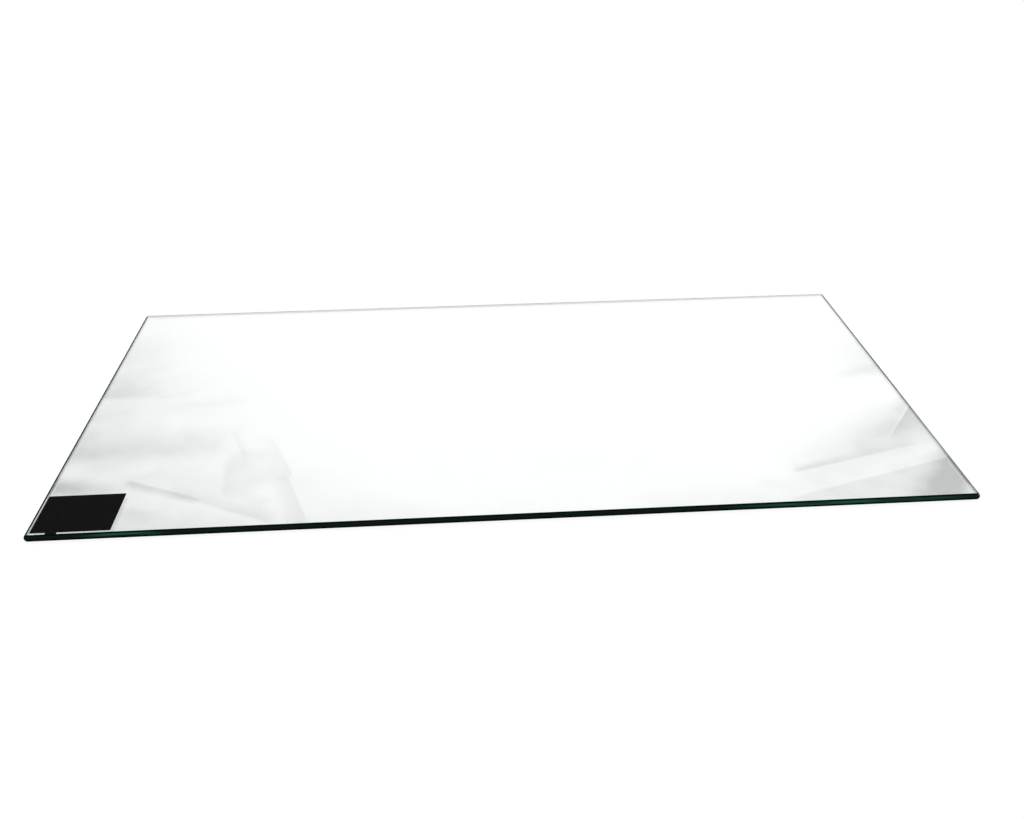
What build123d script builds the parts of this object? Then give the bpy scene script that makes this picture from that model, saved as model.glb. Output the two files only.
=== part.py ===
"""Inner glass of an oven door: a toughened float-glass pane with a black corner print.

The pane lies flat on its lower face. The origin is at the centre of that face,
+X runs along the long side, +Y towards the far side and +Z up. Millimetres.
"""

import os

from build123d import *

# Glass pane, measured over the ground edges
PANE_WIDTH = 530.0
PANE_DEPTH = 270.0
PANE_THICKNESS = 4.0

# Pencil-ground edge: how far its round nose stands out beyond the flat faces
EDGE_BULGE = 1.9

# Dubbed corners, measured in plan at the line where a face meets the ground edge
FACE_CORNER_RADIUS = 0.5

# Black enamel patch, fired on to the upper face in the near left corner
PRINT_WIDTH = 43.0
PRINT_DEPTH = 33.5
PRINT_THICKNESS = 0.05
PRINT_CORNER_RADIUS = 0.6

# Bare glass between the ground edge and the patch
PRINT_SIDE_GAP = 1.0
PRINT_NEAR_GAP = 1.2

# Short tab by which the patch runs out to the ground edge, set in from the patch's left side
PRINT_TAB_WIDTH = 6.2
PRINT_TAB_START = 8.5


def nose_bulge() -> float:
    """How far the nose stands out, which is at most a half-round of the thickness."""
    return min(EDGE_BULGE, PANE_THICKNESS / 2)


def face_outline() -> Sketch:
    """The flat part of the pane's faces, inside the ground edge."""
    return RectangleRounded(
        PANE_WIDTH - 2 * nose_bulge(),
        PANE_DEPTH - 2 * nose_bulge(),
        FACE_CORNER_RADIUS,
    )


def edge_nose(path: Wire) -> Part:
    """The round nose of the ground edge, swept once round the flat faces."""
    start = path @ 0
    along = path % 0
    outward = along.cross(Vector(0, 0, 1))
    if outward.dot(start) < 0:
        outward = outward * -1
    half_thickness = PANE_THICKNESS / 2
    lower = start
    middle = start + outward * nose_bulge() + Vector(0, 0, half_thickness)
    upper = start + Vector(0, 0, PANE_THICKNESS)
    section = make_face([ThreePointArc(lower, middle, upper), Line(upper, lower)])
    return sweep(section, path)


def glass_pane() -> Part:
    """The toughened pane: two flat faces, a ground edge all round and dubbed corners."""
    outline = face_outline()
    core = extrude(outline, PANE_THICKNESS)
    return core + edge_nose(outline.wire())


def corner_print() -> Part:
    """The plain black patch on the upper face, set in from the ground edge, with its tab."""
    patch = RectangleRounded(PRINT_WIDTH, PRINT_DEPTH, PRINT_CORNER_RADIUS)
    tab = Rectangle(
        PRINT_TAB_WIDTH,
        PRINT_NEAR_GAP + PRINT_DEPTH / 2,
        align=(Align.MIN, Align.MAX),
    )
    shape = patch + Pos(PRINT_TAB_START - PRINT_WIDTH / 2, 0) * tab
    centre_x = -PANE_WIDTH / 2 + nose_bulge() + PRINT_SIDE_GAP + PRINT_WIDTH / 2
    centre_y = -PANE_DEPTH / 2 + nose_bulge() + PRINT_NEAR_GAP + PRINT_DEPTH / 2
    return Pos(centre_x, centre_y, PANE_THICKNESS) * extrude(shape, PRINT_THICKNESS)


def main() -> None:
    """Builds each piece and writes it to its own file."""
    os.makedirs("parts", exist_ok=True)
    pieces = {"glass_pane": glass_pane(), "corner_print": corner_print()}
    for name, piece in pieces.items():
        export_step(piece, f"parts/{name}.step")


main()
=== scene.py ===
"""Dresses the inner glass of an oven door: a clear toughened pane with a black corner print.

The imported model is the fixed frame: metres, origin at the centre of the pane's lower face,
+X along the long side, +Y towards the far side and +Z up. Sizes below are written in
millimetres and turned to metres by MM.
"""

from __future__ import annotations

import logging
import math
from dataclasses import dataclass
from enum import Enum
from typing import Any

import bmesh
import bpy
from mathutils import Matrix, Vector, noise

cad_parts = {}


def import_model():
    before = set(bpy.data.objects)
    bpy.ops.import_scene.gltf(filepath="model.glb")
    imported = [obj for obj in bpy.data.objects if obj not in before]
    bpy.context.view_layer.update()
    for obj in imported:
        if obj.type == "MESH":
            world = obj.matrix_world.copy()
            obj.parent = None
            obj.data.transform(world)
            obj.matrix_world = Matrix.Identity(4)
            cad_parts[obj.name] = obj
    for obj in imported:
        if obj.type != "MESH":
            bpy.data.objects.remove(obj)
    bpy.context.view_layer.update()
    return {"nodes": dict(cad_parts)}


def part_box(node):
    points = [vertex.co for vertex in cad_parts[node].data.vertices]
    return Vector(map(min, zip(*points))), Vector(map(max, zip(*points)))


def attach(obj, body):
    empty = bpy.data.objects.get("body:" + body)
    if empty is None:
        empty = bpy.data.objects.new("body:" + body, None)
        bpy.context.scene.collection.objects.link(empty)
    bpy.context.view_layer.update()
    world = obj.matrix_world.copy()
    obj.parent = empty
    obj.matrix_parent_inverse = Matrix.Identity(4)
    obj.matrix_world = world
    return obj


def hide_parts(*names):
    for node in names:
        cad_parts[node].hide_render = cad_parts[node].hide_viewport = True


LOG = logging.getLogger("oven_glass")
MM = 0.001
BODY = "root"
WHITE = "#FFFFFF"
LIGHT_BOUNCES = 24


class Piece(Enum):
    """The CAD nodes of the part."""

    PANE = "glass_pane"
    PRINT = "corner_print"


class Slot(Enum):
    """The record's material slots."""

    GLASS = "clear_glass"
    ENAMEL = "black_enamel"


def linear(code: str) -> tuple[float, float, float, float]:
    """Turns an sRGB hex colour into linear RGBA.

    Args:
        code: Six hex digits after a hash mark.

    Returns:
        Red, green and blue in linear light, and an alpha of 1.
    """
    channels = [int(code[i : i + 2], 16) / 255 for i in (1, 3, 5)]
    light = [c / 12.92 if c <= 0.04045 else ((c + 0.055) / 1.055) ** 2.4 for c in channels]
    return (light[0], light[1], light[2], 1.0)


def add_node(
    tree: bpy.types.NodeTree,
    kind: str,
    settings: dict[str, Any] | None = None,
    inputs: dict[str | int, Any] | None = None,
) -> bpy.types.Node:
    """Adds a node, sets it and fills or links its inputs.

    Args:
        tree: The node tree that gets the node.
        kind: Blender's name for the kind of node, after ShaderNode.
        settings: Values of the node's own properties.
        inputs: Values for its input sockets, or output sockets to link to them.

    Returns:
        The new node.
    """
    node = tree.nodes.new("ShaderNode" + kind)
    for name, value in (settings or {}).items():
        setattr(node, name, value)
    for key, value in (inputs or {}).items():
        if isinstance(value, bpy.types.NodeSocket):
            tree.links.new(value, node.inputs[key])
        else:
            node.inputs[key].default_value = value
    return node


def new_material(name: str) -> tuple[bpy.types.Material, bpy.types.NodeTree]:
    """Makes a material with an empty node tree.

    Args:
        name: The material's name.

    Returns:
        The material and its node tree.
    """
    material = bpy.data.materials.new(name)
    material.use_nodes = True
    material.node_tree.nodes.clear()
    return material, material.node_tree


def shown_to_lens(tree: bpy.types.NodeTree) -> bpy.types.NodeSocket:
    """Tells the rays that show the background from those that only carry light.

    Args:
        tree: The node tree of a stage material or of the world.

    Returns:
        A socket that is 1 for camera, glossy and transmission rays and 0 for others.
    """
    path = add_node(tree, "LightPath")
    seen = add_node(
        tree,
        "Math",
        {"operation": "MAXIMUM"},
        {0: path.outputs["Is Camera Ray"], 1: path.outputs["Is Glossy Ray"]},
    )
    either = add_node(
        tree,
        "Math",
        {"operation": "MAXIMUM"},
        {0: seen.outputs[0], 1: path.outputs["Is Transmission Ray"]},
    )
    return either.outputs[0]


def link_object(name: str, mesh: bpy.types.Mesh) -> bpy.types.Object:
    """Puts a mesh in the scene.

    Args:
        name: The new object's name.
        mesh: Its mesh.

    Returns:
        The new object.
    """
    made = bpy.data.objects.new(name, mesh)
    bpy.context.scene.collection.objects.link(made)
    return made


@dataclass(frozen=True)
class FloatGlass:
    """Toughened soda-lime float glass, with polished faces and a ground edge.

    The faces are fire-polished and carry a thin heat-reflecting oxide, so they mirror a little
    more than bare glass. Iron in the melt takes red light. The edge is ground dull, and light
    that has come the length of the pane leaves it as a very dark green.
    """

    name: str = "toughened_float_glass"
    ior: float = 1.52
    coat_ior: float = 2.2
    iron_tint: str = "#6EE3CC"
    absorption_per_m: float = 5.0
    face_normal_z: float = 0.999
    shine: float = 0.5
    edge_roughness: float = 0.5
    edge_dark: str = "#07110D"
    edge_dull: str = "#141F1B"
    # The green below is painted light: it stands in for light that reaches the ground edge through the
    # pane.
    edge_green_light: str = "#225E45"
    # The pale colour below is a painted highlight on the upper arris of the near half of the right edge.
    edge_highlight: str = "#C2C9C6"
    edge_inside: str = "#909896"
    dull_heights: tuple[float, float, float, float] = (0.9 * MM, 2.0 * MM, 3.3 * MM, 3.8 * MM)
    green_light_heights: tuple[float, float, float, float] = (2.0 * MM, 2.6 * MM, 3.3 * MM, 3.75 * MM)
    right_green_light: tuple[float, float, float, float] = (110.0 * MM, 168.0 * MM, 205.0 * MM, 276.0 * MM)
    left_green_light: tuple[float, float, float, float] = (-240.0 * MM, -218.0 * MM, -206.0 * MM, -184.0 * MM)
    highlight_heights: tuple[float, float, float, float] = (3.0 * MM, 3.4 * MM, 3.85 * MM, 3.97 * MM)
    highlight_run: tuple[float, float, float, float] = (-136.0 * MM, -128.0 * MM, -60.0 * MM, -5.0 * MM)
    highlight_side: float = 262.9 * MM
    streak_length: float = 45.0 * MM
    streak_height: float = 0.9 * MM
    streak_limits: tuple[float, float] = (0.34, 0.6)
    face_tint: str = "#F5F7F6"
    film_tint: str = "#F2F5F4"
    film_size: float = 34.0 * MM
    film_limits: tuple[float, float] = (0.52, 0.8)

    def ground_masks(
        self, tree: bpy.types.NodeTree
    ) -> tuple[bpy.types.NodeSocket, bpy.types.NodeSocket]:
        """Tells the ground edge from the faces, by the way that the surface looks.

        Args:
            tree: The glass's node tree.

        Returns:
            A socket that is 1 on the ground edge, and one that is 1 there only from outside.
        """
        geometry = add_node(tree, "NewGeometry")
        normal = add_node(tree, "SeparateXYZ", inputs={0: geometry.outputs["True Normal"]})
        tilt = add_node(tree, "Math", {"operation": "ABSOLUTE"}, {0: normal.outputs["Z"]})
        ground = add_node(
            tree, "Math", {"operation": "LESS_THAN"}, {0: tilt.outputs[0], 1: self.face_normal_z}
        )
        outer = add_node(
            tree,
            "Math",
            {"operation": "GREATER_THAN"},
            {0: ground.outputs[0], 1: geometry.outputs["Backfacing"]},
        )
        return ground.outputs[0], outer.outputs[0]

    def soft_band(
        self,
        tree: bpy.types.NodeTree,
        value: bpy.types.NodeSocket,
        limits: tuple[float, float, float, float],
    ) -> bpy.types.NodeSocket:
        """Marks a band with soft ends.

        Args:
            tree: The glass's node tree.
            value: The value that the band lies along.
            limits: Where the band starts, is full, stops being full and ends.

        Returns:
            A socket that is 1 in the full part of the band and 0 outside it.
        """
        start, full, last_full, end = limits
        rise = add_node(
            tree,
            "MapRange",
            {"interpolation_type": "SMOOTHSTEP"},
            {"Value": value, "From Min": start, "From Max": full},
        )
        band = add_node(
            tree,
            "MapRange",
            {"interpolation_type": "SMOOTHSTEP"},
            {
                "Value": value,
                "From Min": last_full,
                "From Max": end,
                "To Min": rise.outputs[0],
                "To Max": 0.0,
            },
        )
        return band.outputs[0]

    def green_light(self, tree: bpy.types.NodeTree, spot: bpy.types.Node) -> bpy.types.NodeSocket:
        """Marks where painted green light streaks the ground edge, standing in for light that reaches it
        through the pane.

        Args:
            tree: The glass's node tree.
            spot: The place on the pane, taken apart into X, Y and Z.

        Returns:
            A socket that is 1 in the middle of a streak.
        """
        along = add_node(
            tree, "Math", {"operation": "ADD"}, {0: spot.outputs["X"], 1: spot.outputs["Y"]}
        )
        run = add_node(
            tree, "Math", {"operation": "DIVIDE"}, {0: along.outputs[0], 1: self.streak_length}
        )
        rise = add_node(
            tree, "Math", {"operation": "DIVIDE"}, {0: spot.outputs["Z"], 1: self.streak_height}
        )
        stretched = add_node(tree, "CombineXYZ", inputs={"X": run.outputs[0], "Z": rise.outputs[0]})
        streaks = add_node(
            tree, "TexNoise", inputs={"Vector": stretched.outputs[0], "Scale": 1.0, "Detail": 3.0}
        )
        ends = add_node(
            tree,
            "Math",
            {"operation": "MAXIMUM"},
            {
                0: self.soft_band(tree, spot.outputs["X"], self.right_green_light),
                1: self.soft_band(tree, spot.outputs["X"], self.left_green_light),
            },
        )
        middle = add_node(
            tree,
            "Math",
            {"operation": "MULTIPLY"},
            {0: ends.outputs[0], 1: self.soft_band(tree, spot.outputs["Z"], self.green_light_heights)},
        )
        lit = add_node(
            tree,
            "MapRange",
            {"interpolation_type": "SMOOTHSTEP"},
            {
                "Value": streaks.outputs["Fac"],
                "From Min": self.streak_limits[0],
                "From Max": self.streak_limits[1],
                "To Max": middle.outputs[0],
            },
        )
        return lit.outputs[0]

    def painted_highlight(self, tree: bpy.types.NodeTree, spot: bpy.types.Node) -> bpy.types.NodeSocket:
        """Marks the painted highlight: a pale stretch on the upper part of the right edge that stands in
        for light caught there.

        Args:
            tree: The glass's node tree.
            spot: The place on the pane, taken apart into X, Y and Z.

        Returns:
            A socket that is 1 in the middle of that part.
        """
        side = add_node(
            tree, "Math", {"operation": "GREATER_THAN"}, {0: spot.outputs["X"], 1: self.highlight_side}
        )
        run = add_node(
            tree,
            "Math",
            {"operation": "MULTIPLY"},
            {0: side.outputs[0], 1: self.soft_band(tree, spot.outputs["Y"], self.highlight_run)},
        )
        upper = add_node(
            tree,
            "Math",
            {"operation": "MULTIPLY"},
            {0: run.outputs[0], 1: self.soft_band(tree, spot.outputs["Z"], self.highlight_heights)},
        )
        return upper.outputs[0]

    def edge_colour(self, tree: bpy.types.NodeTree, place: bpy.types.NodeSocket) -> bpy.types.NodeSocket:
        """Colours the ground edge: black at both arrises, dull between, with painted streaks of green
        light and a painted highlight on the right edge.

        Args:
            tree: The glass's node tree.
            place: The place on the pane.

        Returns:
            The colour, with painted green light towards the corners, where more light reaches the edge.
        """
        spot = add_node(tree, "SeparateXYZ", inputs={0: place})
        dull = add_node(
            tree,
            "Mix",
            {"data_type": "RGBA"},
            {
                "Factor": self.soft_band(tree, spot.outputs["Z"], self.dull_heights),
                "A": linear(self.edge_dark),
                "B": linear(self.edge_dull),
            },
        )
        # Painted green light, mixed into the edge colour.
        green = add_node(
            tree,
            "Mix",
            {"data_type": "RGBA"},
            {
                "Factor": self.green_light(tree, spot),
                "A": dull.outputs["Result"],
                "B": linear(self.edge_green_light),
            },
        )
        # Painted highlight, mixed in on the right edge.
        highlighted = add_node(
            tree,
            "Mix",
            {"data_type": "RGBA"},
            {
                "Factor": self.painted_highlight(tree, spot),
                "A": green.outputs["Result"],
                "B": linear(self.edge_highlight),
            },
        )
        return highlighted.outputs["Result"]

    def face_film(self, tree: bpy.types.NodeTree, place: bpy.types.NodeSocket) -> bpy.types.NodeSocket:
        """Clouds the faces by a hair with the film that a wiping cloth leaves.

        Args:
            tree: The glass's node tree.
            place: The place on the pane.

        Returns:
            The colour of the faces.
        """
        wipes = add_node(
            tree,
            "TexNoise",
            inputs={"Vector": place, "Scale": 1.0 / self.film_size, "Detail": 4.0, "Distortion": 0.3},
        )
        share = add_node(
            tree,
            "MapRange",
            {"interpolation_type": "SMOOTHSTEP"},
            {
                "Value": wipes.outputs["Fac"],
                "From Min": self.film_limits[0],
                "From Max": self.film_limits[1],
            },
        )
        colour = add_node(
            tree,
            "Mix",
            {"data_type": "RGBA"},
            {
                "Factor": share.outputs[0],
                "A": linear(self.face_tint),
                "B": linear(self.film_tint),
            },
        )
        return colour.outputs["Result"]

    def material(self) -> bpy.types.Material:
        """Builds the glass, with its ground edge told by the direction that a face looks."""
        material, tree = new_material(self.name)
        ground, outer = self.ground_masks(tree)
        place = add_node(tree, "TexCoord").outputs["Object"]
        clear = add_node(
            tree,
            "Mix",
            {"data_type": "RGBA"},
            {"Factor": ground, "A": self.face_film(tree, place), "B": linear(self.edge_inside)},
        )
        colour = add_node(
            tree,
            "Mix",
            {"data_type": "RGBA"},
            {"Factor": outer, "A": clear.outputs["Result"], "B": self.edge_colour(tree, place)},
        )
        roughness = add_node(
            tree, "MapRange", inputs={"Value": ground, "To Min": 0.0, "To Max": self.edge_roughness}
        )
        through = add_node(tree, "Math", {"operation": "SUBTRACT"}, {0: 1.0, 1: outer})
        shine = add_node(
            tree, "Math", {"operation": "MULTIPLY"}, {0: through.outputs[0], 1: self.shine}
        )
        coat = add_node(tree, "Math", {"operation": "SUBTRACT"}, {0: 1.0, 1: ground})
        glass = add_node(
            tree,
            "BsdfPrincipled",
            inputs={
                "Base Color": colour.outputs["Result"],
                "Roughness": roughness.outputs[0],
                "IOR": self.ior,
                "Transmission Weight": through.outputs[0],
                "Specular IOR Level": shine.outputs[0],
                "Coat Weight": coat.outputs[0],
                "Coat Roughness": 0.0,
                "Coat IOR": self.coat_ior,
            },
        )
        iron = add_node(
            tree,
            "VolumeAbsorption",
            inputs={"Color": linear(self.iron_tint), "Density": self.absorption_per_m},
        )
        add_node(
            tree,
            "OutputMaterial",
            inputs={"Surface": glass.outputs[0], "Volume": iron.outputs[0]},
        )
        return material


@dataclass(frozen=True)
class FiredEnamel:
    """Black ceramic enamel, screen-printed on the glass and fired as it is toughened.

    It dries through a mesh and fuses dull, so the eye sees a flat, slightly grainy black.
    """

    name: str = "black_fired_enamel"
    colour: str = "#020204"
    thin_colour: str = "#0C0D0F"
    mottle_size: float = 5.0 * MM
    grain_size: float = 0.8 * MM
    grain_height: float = 0.004 * MM
    roughness: float = 0.55
    specular: float = 0.02

    def material(self) -> bpy.types.Material:
        """Builds the dull black, with soft mottling and the fine grain that the mesh leaves."""
        material, tree = new_material(self.name)
        place = add_node(tree, "TexCoord").outputs["Object"]
        mottle = add_node(
            tree,
            "TexNoise",
            inputs={"Vector": place, "Scale": 1.0 / self.mottle_size, "Detail": 3.0},
        )
        colour = add_node(
            tree,
            "Mix",
            {"data_type": "RGBA"},
            {
                "Factor": mottle.outputs["Fac"],
                "A": linear(self.colour),
                "B": linear(self.thin_colour),
            },
        )
        grain = add_node(
            tree,
            "TexNoise",
            inputs={"Vector": place, "Scale": 1.0 / self.grain_size, "Detail": 2.0},
        )
        bump = add_node(
            tree,
            "Bump",
            inputs={"Height": grain.outputs["Fac"], "Distance": self.grain_height},
        )
        enamel = add_node(
            tree,
            "BsdfPrincipled",
            inputs={
                "Base Color": colour.outputs["Result"],
                "Roughness": self.roughness,
                "Specular IOR Level": self.specular,
                "Normal": bump.outputs[0],
            },
        )
        add_node(tree, "OutputMaterial", inputs={"Surface": enamel.outputs[0]})
        return material


@dataclass
class GlassPane:
    """The pane: two flat faces and a pencil-ground edge with dubbed corners."""

    low: Vector
    high: Vector
    edge_bulge: float = 1.9 * MM
    corner_radius: float = 0.5 * MM
    nose_steps: int = 18
    corner_steps: int = 8
    station_gap: float = 3.0 * MM
    enamel_depth: float = 0.01 * MM
    waver: float = 0.06 * MM
    waver_length: float = 35.0 * MM

    def face_line(self) -> list[tuple[Vector, Vector]]:
        """Walks once round the line where a face meets the ground edge.

        Returns:
            Points of that line, in plan, each with the direction that points off the pane.
        """
        centre = (self.low + self.high) / 2
        half = (self.high - self.low) / 2
        inset = self.edge_bulge + self.corner_radius
        reach = Vector((half.x - inset, half.y - inset))
        stations: list[tuple[Vector, Vector]] = []
        for quarter, (sx, sy) in enumerate(((1, -1), (1, 1), (-1, 1), (-1, -1))):
            pivot = Vector((centre.x + sx * reach.x, centre.y + sy * reach.y))
            for step in range(self.corner_steps + 1):
                angle = math.pi / 2 * (quarter - 1 + step / self.corner_steps)
                outward = Vector((math.cos(angle), math.sin(angle)))
                stations.append((pivot + outward * self.corner_radius, outward))
            run = 2 * (reach.y if quarter % 2 == 0 else reach.x)
            start, outward = stations[-1]
            along = Vector((-outward.y, outward.x))
            count = round(run / self.station_gap)
            for step in range(1, count):
                stations.append((start + along * (run * step / count), outward))
        return stations

    def nose(self, thickness: float) -> list[tuple[float, float]]:
        """Gives the section of the ground edge: one arc from the lower face to the upper.

        Args:
            thickness: The height of the section.

        Returns:
            Pairs of how far out and how high each point is, from the lower face up.
        """
        half = thickness / 2
        radius = (half**2 + self.edge_bulge**2) / (2 * self.edge_bulge)
        shoulder = math.asin(half / radius)
        points = []
        for step in range(self.nose_steps + 1):
            angle = shoulder * (2 * step / self.nose_steps - 1)
            out = radius * math.cos(angle) - (radius - self.edge_bulge)
            points.append((out, half + radius * math.sin(angle)))
        return points

    def build(self) -> bpy.types.Object:
        """Builds the pane in place of its CAD node.

        Returns:
            The pane, riding on the part's body.
        """
        thickness = self.high.z - self.low.z + self.enamel_depth
        section = self.nose(thickness)
        shape = bmesh.new()
        rings = []
        for place, outward in self.face_line():
            spot = Vector((place.x, place.y, 0.0)) / self.waver_length
            pull = self.waver * (0.5 + 0.5 * noise.noise(spot))
            ring = []
            for out, height in section:
                share = out / self.edge_bulge
                plan = place + outward * (out - pull * share)
                ring.append(shape.verts.new((plan.x, plan.y, self.low.z + height)))
            rings.append(ring)
        for ring, after in zip(rings, rings[1:] + rings[:1]):
            for i in range(len(section) - 1):
                face = shape.faces.new((ring[i], after[i], after[i + 1], ring[i + 1]))
                face.smooth = True
        shape.faces.new([ring[-1] for ring in rings])
        shape.faces.new([ring[0] for ring in reversed(rings)])
        for ring, after in zip(rings, rings[1:] + rings[:1]):
            for end in (0, -1):
                arris = shape.edges.get((ring[end], after[end]))
                arris.smooth = False
        mesh = bpy.data.meshes.new("toughened_pane")
        shape.to_mesh(mesh)
        shape.free()
        pane = link_object("toughened_pane", mesh)
        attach(pane, BODY)
        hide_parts(Piece.PANE.value)
        return pane

    def dress(self, pane: bpy.types.Object, finish: FloatGlass) -> None:
        """Gives the pane its glass."""
        pane.data.materials.append(finish.material())


@dataclass
class CornerPrint:
    """The plain black patch on the upper face, in the near left corner."""

    patch: bpy.types.Object

    def dress(self, finish: FiredEnamel) -> None:
        """Gives the patch its enamel."""
        self.patch.data.materials.clear()
        self.patch.data.materials.append(finish.material())


@dataclass(frozen=True)
class PhotoCamera:
    """The camera of the photograph, solved from the pane's edges."""

    lens_mm: float = 34.643
    sensor_mm: float = 36.0
    place_mm: tuple[float, float, float] = (-29.22, -565.25, 338.13)
    yaw_deg: float = 3.717
    pitch_deg: float = 31.615
    roll_deg: float = 0.253

    def build(self) -> None:
        """Makes the camera and hands it to the scene."""
        data = bpy.data.cameras.new("photo_camera")
        data.lens = self.lens_mm
        data.sensor_width = self.sensor_mm
        camera = bpy.data.objects.new("photo_camera", data)
        bpy.context.scene.collection.objects.link(camera)
        yaw, pitch, roll = (math.radians(a) for a in (self.yaw_deg, self.pitch_deg, self.roll_deg))
        forward = Vector(
            (math.sin(yaw) * math.cos(pitch), math.cos(yaw) * math.cos(pitch), -math.sin(pitch))
        )
        level = Vector((math.cos(yaw), -math.sin(yaw), 0.0))
        down = forward.cross(level)
        right = level * math.cos(roll) + down * math.sin(roll)
        up = level * math.sin(roll) - down * math.cos(roll)
        turn = Matrix((right, up, -forward)).transposed().to_4x4()
        camera.matrix_world = Matrix.Translation(Vector(self.place_mm) * MM) @ turn
        bpy.context.scene.camera = camera


@dataclass(frozen=True)
class FoldShade:
    """The painted shade of a soft fold in the cloth's glow, placed by where the lens meets it in the
    pane's upper face.

    Places and widths are millimetres on the pane. The fold shades the cloth along its line, and
    fades out to the left and the right of the way from its start to its end, and past its tips.
    A depth below 0 lightens the cloth, and a flare above 1 widens the fold towards its end.
    """

    start: tuple[float, float]
    end: tuple[float, float]
    left: float
    right: float
    depth: float
    end_depth: float
    flare: float = 1.0
    tip: float = 8.0


@dataclass
class TentCloth:
    """The white cloth of the light tent over the stage, which shows only mirrored in the glass.

    It is a flat sheet whose glow carries painted shade: where the camera's lens meets it in the glass,
    painted folds and crumples; at its sides, painted soft drapes. Its rim evens out to the white of the
    surroundings.
    """

    lens: Vector
    face_height: float
    height: float = 750.0 * MM
    half_span: float = 3500.0 * MM
    level: float = 1.30
    least: float = 0.02
    drape_size: float = 420.0 * MM
    drape_depth: float = 0.08
    side_drape_size: float = 1000.0 * MM
    side_drape_depth: float = 0.50
    side_drape_limits: tuple[float, float] = (0.35, 0.65)
    side_from: float = 950.0 * MM
    side_to: float = 1500.0 * MM
    rim_from: float = 2400.0 * MM
    rim_to: float = 3400.0 * MM
    rim_shade: float = 0.30
    crumple_size: float = 50.0 * MM
    crumple_share: float = 0.4
    # Painted shade of folds in the cloth's glow; the cloth itself is flat.
    fold_shades: tuple[FoldShade, ...] = (
        FoldShade((-272.0, 140.0), (-262.0, -145.0), 66.0, 40.0, 0.20, 0.56, flare=3.6),
        FoldShade((-268.0, 75.0), (-264.0, -20.0), 54.0, 6.0, 0.18, 0.16, tip=30.0),
        FoldShade((-280.0, 15.5), (-210.0, 7.5), 36.0, 6.0, 0.44, 0.02, tip=14.0),
        FoldShade((-280.0, -53.0), (-182.0, -54.0), 32.0, 18.0, 0.46, 0.24, tip=16.0),
        FoldShade((-236.0, -77.0), (-213.0, -77.0), 9.0, 7.0, -0.06, -0.10),
        FoldShade((-272.0, -88.0), (-226.0, -97.0), 14.0, 14.0, 1.10, 0.22),
        FoldShade((-219.0, -87.5), (-180.0, -105.5), 1.4, 8.0, 0.44, 0.36, tip=5.0),
        FoldShade((-192.0, -101.0), (-138.0, -128.5), 12.0, 1.2, 0.18, 0.30, tip=10.0),
        FoldShade((-192.0, -105.5), (-140.0, -130.0), 1.0, 3.5, -0.08, -0.06, tip=4.0),
        FoldShade((-223.0, -113.0), (-186.0, -121.0), 5.0, 13.0, 0.28, 0.0),
        FoldShade((-171.0, -36.0), (-160.0, -62.0), 6.0, 1.0, 0.08, 0.16, tip=5.0),
        FoldShade((-158.0, -68.0), (-154.0, -92.0), 20.0, 16.0, 0.24, 0.20, tip=16.0),
        FoldShade((-166.5, -76.0), (-164.0, -100.0), 8.0, 2.8, 0.12, 0.13, tip=11.0),
        FoldShade((-145.0, -45.0), (-128.5, -84.0), 1.4, 20.0, 0.08, 0.23, tip=8.0),
        FoldShade((-129.5, -90.0), (-113.5, -134.0), 1.5, 13.0, 0.22, 0.22, tip=6.0),
        FoldShade((-156.0, -104.0), (-142.0, -112.0), 9.0, 9.0, 0.14, 0.14),
        FoldShade((-212.0, -6.0), (-176.0, 0.0), 12.0, 12.0, 0.08, 0.08, tip=14.0),
        FoldShade((-210.0, -18.0), (-206.0, -32.0), 12.0, 10.0, -0.06, -0.06, tip=10.0),
        FoldShade((-159.0, 2.0), (-150.0, -18.0), 1.5, 5.0, 0.05, 0.04, tip=4.0),
        FoldShade((-262.0, -62.0), (-170.0, -100.0), 22.0, 16.0, 0.10, 0.12, tip=25.0),
        FoldShade((-125.0, -95.0), (-60.0, -130.0), 30.0, 40.0, 0.10, 0.08, tip=36.0),
        FoldShade((-215.0, -142.0), (40.0, -143.0), 40.0, 10.0, 0.34, 0.13, tip=60.0),
        FoldShade((-4.0, -123.0), (12.0, -121.0), 3.0, 4.0, 0.06, 0.04, tip=4.0),
        FoldShade((34.0, -86.0), (44.0, -82.0), 2.0, 3.0, 0.06, 0.04, tip=4.0),
        FoldShade((90.0, -142.0), (240.0, -136.0), 46.0, 10.0, 0.26, 0.32, tip=40.0),
        FoldShade((148.0, -112.0), (166.0, -120.0), 10.0, 12.0, 0.12, 0.04, tip=12.0),
        FoldShade((274.0, 44.0), (268.0, 14.0), 20.0, 46.0, 0.24, 0.34, tip=24.0),
        FoldShade((264.0, 13.0), (236.0, 5.0), 12.0, 12.0, 0.14, 0.22, tip=14.0),
        FoldShade((178.0, -104.0), (262.0, -58.0), 34.0, 34.0, 0.28, 0.60, flare=1.3, tip=24.0),
        FoldShade((215.0, -80.0), (245.0, -58.0), 12.0, 14.0, 0.12, 0.16, tip=14.0),
        FoldShade((170.0, -103.8), (247.0, -81.8), 7.0, 0.7, 0.44, 0.18, flare=1.5, tip=5.0),
        FoldShade((268.0, -24.0), (256.0, -44.0), 8.0, 9.0, 0.40, 0.16),
        FoldShade((238.8, -71.0), (265.8, -35.6), 0.9, 17.0, 0.14, 0.50, tip=6.0),
        FoldShade((236.0, -72.0), (263.0, -36.5), 1.1, 1.1, -0.08, -0.20, tip=3.0),
        FoldShade((230.0, -105.0), (262.0, -92.0), 9.0, 10.0, 0.16, 0.20, tip=16.0),
        FoldShade((164.0, -127.5), (266.0, -95.8), 0.9, 60.0, 0.26, 0.40, tip=14.0),
        FoldShade((240.0, -137.5), (270.0, -102.5), 24.0, 13.0, 1.00, 1.15, tip=16.0),
        FoldShade((252.0, -140.0), (272.0, -112.0), 14.0, 16.0, 0.26, 0.36, tip=10.0),
    )

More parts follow.
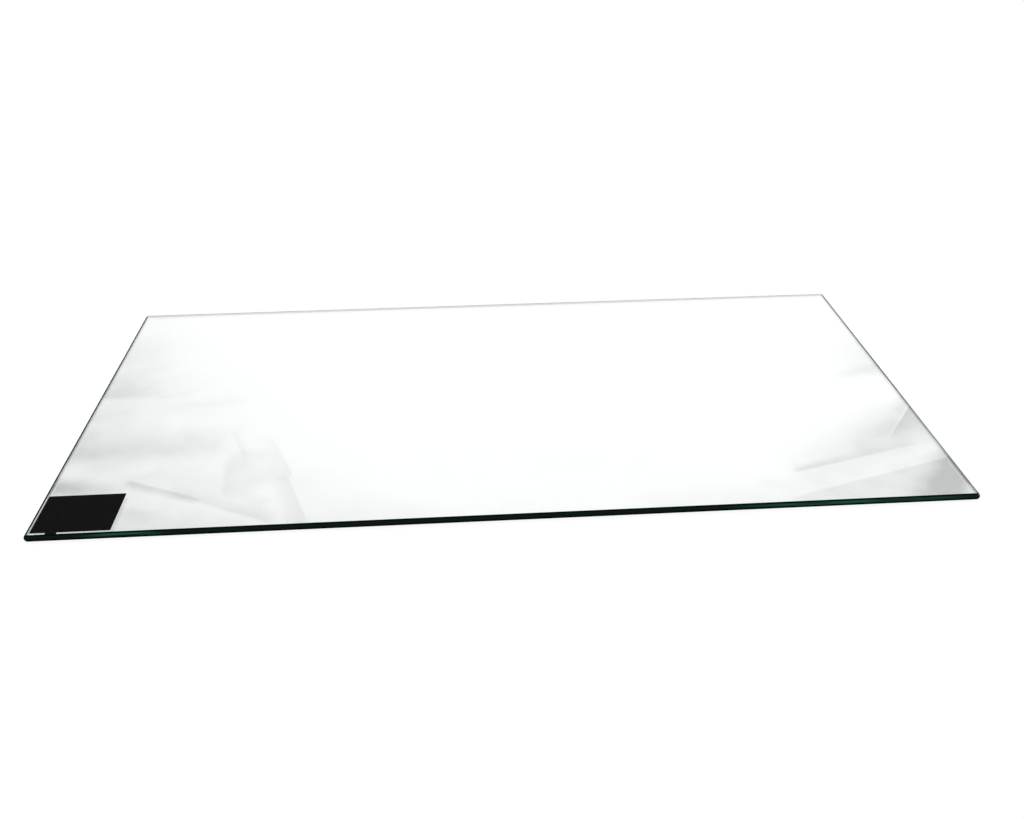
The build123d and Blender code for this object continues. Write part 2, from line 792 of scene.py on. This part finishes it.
    def mirrored(self, spot: tuple[float, float]) -> Vector:
        """Finds the point of the cloth that the lens meets in the glass.

        Args:
            spot: A place on the pane's upper face, in millimetres.

        Returns:
            The matching place on the cloth.
        """
        place = Vector((spot[0] * MM, spot[1] * MM, 0.0))
        lens = Vector((self.lens.x, self.lens.y, 0.0))
        found = place + (place - lens) * (self.spread() - 1.0)
        found.z = self.height
        return found

    def spread(self) -> float:
        """How much larger a length is on the cloth than where it is mirrored on the pane."""
        return 1.0 + (self.height - self.face_height) / (self.lens.z - self.face_height)

    def shade(
        self, tree: bpy.types.NodeTree, place: bpy.types.NodeSocket, fold: FoldShade
    ) -> bpy.types.NodeSocket:
        """Draws the painted shade of one fold by how far a place lies across its line and past its tips.

        Args:
            tree: The cloth's node tree.
            place: The place on the cloth.
            fold: The fold to draw.

        Returns:
            A socket with the shade that the fold gives.
        """
        start = self.mirrored(fold.start)
        run = self.mirrored(fold.end) - start
        size = self.spread() * MM
        laid = add_node(
            tree,
            "Mapping",
            {"vector_type": "TEXTURE"},
            {
                "Vector": place,
                "Location": start,
                "Rotation": (0.0, 0.0, math.atan2(run.y, run.x)),
                "Scale": (run.length, size, 1.0),
            },
        )
        spot = add_node(tree, "SeparateXYZ", inputs={0: laid.outputs[0]})
        share = add_node(tree, "Clamp", inputs={"Value": spot.outputs["X"]})
        beyond = add_node(
            tree, "Math", {"operation": "SUBTRACT"}, {0: spot.outputs["X"], 1: share.outputs[0]}
        )
        past = add_node(
            tree,
            "Math",
            {"operation": "MULTIPLY"},
            {0: beyond.outputs[0], 1: run.length / (fold.tip * size)},
        )
        widen = add_node(
            tree,
            "MapRange",
            inputs={"Value": share.outputs[0], "To Min": 1.0, "To Max": fold.flare},
        )
        across = add_node(
            tree, "Math", {"operation": "DIVIDE"}, {0: spot.outputs["Y"], 1: widen.outputs[0]}
        )
        left = add_node(tree, "Math", {"operation": "DIVIDE"}, {0: across.outputs[0], 1: fold.left})
        right = add_node(tree, "Math", {"operation": "DIVIDE"}, {0: across.outputs[0], 1: -fold.right})
        side = add_node(
            tree, "Math", {"operation": "MAXIMUM"}, {0: left.outputs[0], 1: right.outputs[0]}
        )
        away = add_node(tree, "CombineXYZ", inputs={"X": past.outputs[0], "Y": side.outputs[0]})
        gap = add_node(tree, "VectorMath", {"operation": "LENGTH"}, {0: away.outputs[0]})
        depth = add_node(
            tree,
            "MapRange",
            inputs={"Value": share.outputs[0], "To Min": fold.depth, "To Max": fold.end_depth},
        )
        band = add_node(
            tree,
            "MapRange",
            {"interpolation_type": "SMOOTHSTEP"},
            {"Value": gap.outputs["Value"], "To Min": depth.outputs[0], "To Max": 0.0},
        )
        return band.outputs[0]

    def white(self, tree: bpy.types.NodeTree, place: bpy.types.NodeSocket) -> bpy.types.NodeSocket:
        """Gives the cloth's white, a little uneven all over.

        Args:
            tree: The cloth's node tree.
            place: The place on the cloth.

        Returns:
            A socket with the strength of the white.
        """
        drapes = add_node(
            tree,
            "TexNoise",
            inputs={"Vector": place, "Scale": 1.0 / self.drape_size, "Detail": 2.0},
        )
        uneven = add_node(
            tree,
            "MapRange",
            inputs={
                "Value": drapes.outputs["Fac"],
                "To Min": self.level + self.drape_depth / 2,
                "To Max": self.level - self.drape_depth / 2,
            },
        )
        return uneven.outputs[0]

    def side_shade(self, tree: bpy.types.NodeTree, place: bpy.types.NodeSocket) -> bpy.types.NodeSocket:
        """Paints soft drape shade on the cloth's sides and evens out its rim.

        Args:
            tree: The cloth's node tree.
            place: The place on the cloth.

        Returns:
            A socket with the shade of the drapes, which is 0 round what the lens meets.
        """
        middle = self.mirrored((0.0, 0.0))
        offset = add_node(tree, "VectorMath", {"operation": "DISTANCE"}, {0: place, 1: middle})
        side_drapes = add_node(
            tree,
            "TexNoise",
            inputs={
                "Vector": place,
                "Scale": 1.0 / self.side_drape_size,
                "Detail": 1.0,
                "Distortion": 0.3,
            },
        )
        side_depth = add_node(
            tree,
            "MapRange",
            {"interpolation_type": "SMOOTHSTEP"},
            {
                "Value": side_drapes.outputs["Fac"],
                "From Min": self.side_drape_limits[0],
                "From Max": self.side_drape_limits[1],
                "To Max": self.side_drape_depth,
            },
        )
        sides = add_node(
            tree,
            "MapRange",
            {"interpolation_type": "SMOOTHSTEP"},
            {
                "Value": offset.outputs["Value"],
                "From Min": self.side_from,
                "From Max": self.side_to,
                "To Max": side_depth.outputs[0],
            },
        )
        reach = add_node(tree, "VectorMath", {"operation": "LENGTH"}, {0: place})
        rim = add_node(
            tree,
            "MapRange",
            {"interpolation_type": "SMOOTHSTEP"},
            {
                "Value": reach.outputs["Value"],
                "From Min": self.rim_from,
                "From Max": self.rim_to,
                "To Min": sides.outputs[0],
                "To Max": self.rim_shade,
            },
        )
        return rim.outputs[0]

    def fold_shade(self, tree: bpy.types.NodeTree, place: bpy.types.NodeSocket) -> bpy.types.NodeSocket:
        """Adds up the painted fold shade and varies it with painted crumples.

        Args:
            tree: The cloth's node tree.
            place: The place on the cloth.

        Returns:
            A socket with the shade of the folds.
        """
        crumples = add_node(
            tree,
            "TexNoise",
            inputs={
                "Vector": place,
                "Scale": 1.0 / self.crumple_size,
                "Detail": 5.0,
                "Roughness": 0.6,
            },
        )
        strength = add_node(
            tree,
            "MapRange",
            inputs={
                "Value": crumples.outputs["Fac"],
                "To Min": 1.0 - self.crumple_share,
                "To Max": 1.0 + self.crumple_share,
            },
        )
        shaded = self.shade(tree, place, self.fold_shades[0])
        for fold in self.fold_shades[1:]:
            shaded = add_node(
                tree,
                "Math",
                {"operation": "ADD"},
                {0: shaded, 1: self.shade(tree, place, fold)},
            ).outputs[0]
        crumpled = add_node(
            tree, "Math", {"operation": "MULTIPLY"}, {0: shaded, 1: strength.outputs[0]}
        )
        return crumpled.outputs[0]

    def material(self) -> bpy.types.Material:
        """Builds the cloth's glow: white, with painted drape shade at its sides and painted fold shade
        where the lens meets it.
        """
        material, tree = new_material("tent_cloth")
        place = add_node(tree, "NewGeometry").outputs["Position"]
        shaded = add_node(
            tree,
            "Math",
            {"operation": "ADD"},
            {0: self.fold_shade(tree, place), 1: self.side_shade(tree, place)},
        )
        rest = add_node(
            tree, "Math", {"operation": "SUBTRACT"}, {0: self.white(tree, place), 1: shaded.outputs[0]}
        )
        level = add_node(tree, "Math", {"operation": "MAXIMUM"}, {0: rest.outputs[0], 1: self.least})
        glow = add_node(
            tree,
            "Emission",
            inputs={"Color": linear(WHITE), "Strength": level.outputs[0]},
        )
        add_node(tree, "OutputMaterial", inputs={"Surface": glow.outputs[0]})
        return material

    def build(self) -> None:
        """Hangs the cloth where only the glass meets it."""
        shape = bmesh.new()
        bmesh.ops.create_grid(shape, x_segments=1, y_segments=1, size=self.half_span)
        mesh = bpy.data.meshes.new("tent_cloth")
        shape.to_mesh(mesh)
        shape.free()
        cloth = link_object("tent_cloth", mesh)
        cloth.location.z = self.height
        cloth.visible_camera = False
        cloth.visible_diffuse = False
        cloth.visible_shadow = False
        mesh.materials.append(self.material())


@dataclass
class Studio:
    """White paper under the pane, even white round it and one soft lamp above."""

    floor_half: float = 6000.0 * MM
    floor_drop: float = 0.25 * MM
    floor_colour: str = "#606060"
    floor_glow: float = 0.90
    far_glow: float = 0.93
    near_reach: float = 500.0 * MM
    far_reach: float = 2200.0 * MM
    sky_level: float = 0.8
    lamp_place_mm: tuple[float, float, float] = (-250.0, -150.0, 1900.0)
    lamp_side_mm: float = 1600.0
    lamp_watts: float = 7.5

    def floor(self) -> None:
        """Lays the white paper that the pane lies on."""
        shape = bmesh.new()
        bmesh.ops.create_grid(shape, x_segments=1, y_segments=1, size=self.floor_half)
        mesh = bpy.data.meshes.new("paper_floor")
        shape.to_mesh(mesh)
        shape.free()
        paper = link_object("paper_floor", mesh)
        paper.location.z = -self.floor_drop
        material, tree = new_material("white_paper")
        place = add_node(tree, "TexCoord").outputs["Object"]
        distance = add_node(tree, "VectorMath", {"operation": "LENGTH"}, {0: place})
        glow = add_node(
            tree,
            "MapRange",
            {"interpolation_type": "SMOOTHSTEP"},
            {
                "Value": distance.outputs["Value"],
                "From Min": self.near_reach,
                "From Max": self.far_reach,
                "To Min": self.floor_glow,
                "To Max": self.far_glow,
            },
        )
        strength = add_node(
            tree,
            "Math",
            {"operation": "MULTIPLY"},
            {0: shown_to_lens(tree), 1: glow.outputs[0]},
        )
        lit = add_node(tree, "BsdfDiffuse", inputs={"Color": linear(self.floor_colour)})
        white = add_node(
            tree,
            "Emission",
            inputs={"Color": linear(WHITE), "Strength": strength.outputs[0]},
        )
        both = add_node(tree, "AddShader", inputs={0: lit.outputs[0], 1: white.outputs[0]})
        add_node(tree, "OutputMaterial", inputs={"Surface": both.outputs[0]})
        mesh.materials.append(material)

    def sky(self) -> None:
        """Surrounds the stage with even white, softer as a light than to the eye."""
        world = bpy.data.worlds.new("studio_white")
        bpy.context.scene.world = world
        world.use_nodes = True
        tree = world.node_tree
        tree.nodes.clear()
        light = add_node(
            tree,
            "Background",
            inputs={"Color": linear(WHITE), "Strength": self.sky_level},
        )
        white = add_node(
            tree,
            "Background",
            inputs={"Color": linear(WHITE), "Strength": 1.0},
        )
        mix = add_node(
            tree,
            "MixShader",
            inputs={0: shown_to_lens(tree), 1: light.outputs[0], 2: white.outputs[0]},
        )
        add_node(tree, "OutputWorld", inputs={"Surface": mix.outputs[0]})

    def lamp(self) -> None:
        """Hangs the square soft lamp that faces the pane."""
        data = bpy.data.lights.new("overhead_softbox", "AREA")
        data.shape = "SQUARE"
        data.size = self.lamp_side_mm * MM
        data.energy = self.lamp_watts
        lamp = bpy.data.objects.new("overhead_softbox", data)
        bpy.context.scene.collection.objects.link(lamp)
        lamp.location = Vector(self.lamp_place_mm) * MM
        lamp.rotation_mode = "QUATERNION"
        lamp.rotation_quaternion = (-lamp.location).to_track_quat("-Z", "Y")

    def build(self) -> None:
        """Sets up the floor, the surroundings and the lamp."""
        self.floor()
        self.sky()
        self.lamp()


def set_light_paths() -> None:
    """Lets light run the depth of the pane, mirrored between its faces."""
    cycles = bpy.context.scene.cycles
    cycles.max_bounces = LIGHT_BOUNCES
    cycles.glossy_bounces = LIGHT_BOUNCES
    cycles.transmission_bounces = LIGHT_BOUNCES


def main() -> None:
    """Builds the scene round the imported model."""
    logging.basicConfig(level=logging.INFO, format="%(message)s")
    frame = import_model()
    bpy.context.scene.view_settings.view_transform = "Standard"
    set_light_paths()
    camera = PhotoCamera()
    camera.build()

    pane_maker = GlassPane(*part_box(Piece.PANE.value))
    pane = pane_maker.build()
    pane_maker.dress(pane, FloatGlass())
    LOG.info("%s: %d faces", pane.name, len(pane.data.polygons))

    patch = CornerPrint(frame["nodes"][Piece.PRINT.value])
    patch.dress(FiredEnamel())
    LOG.info("%s dressed", patch.patch.name)

    Studio().build()
    TentCloth(Vector(camera.place_mm) * MM, pane_maker.high.z).build()


if __name__ == "__main__":
    main()
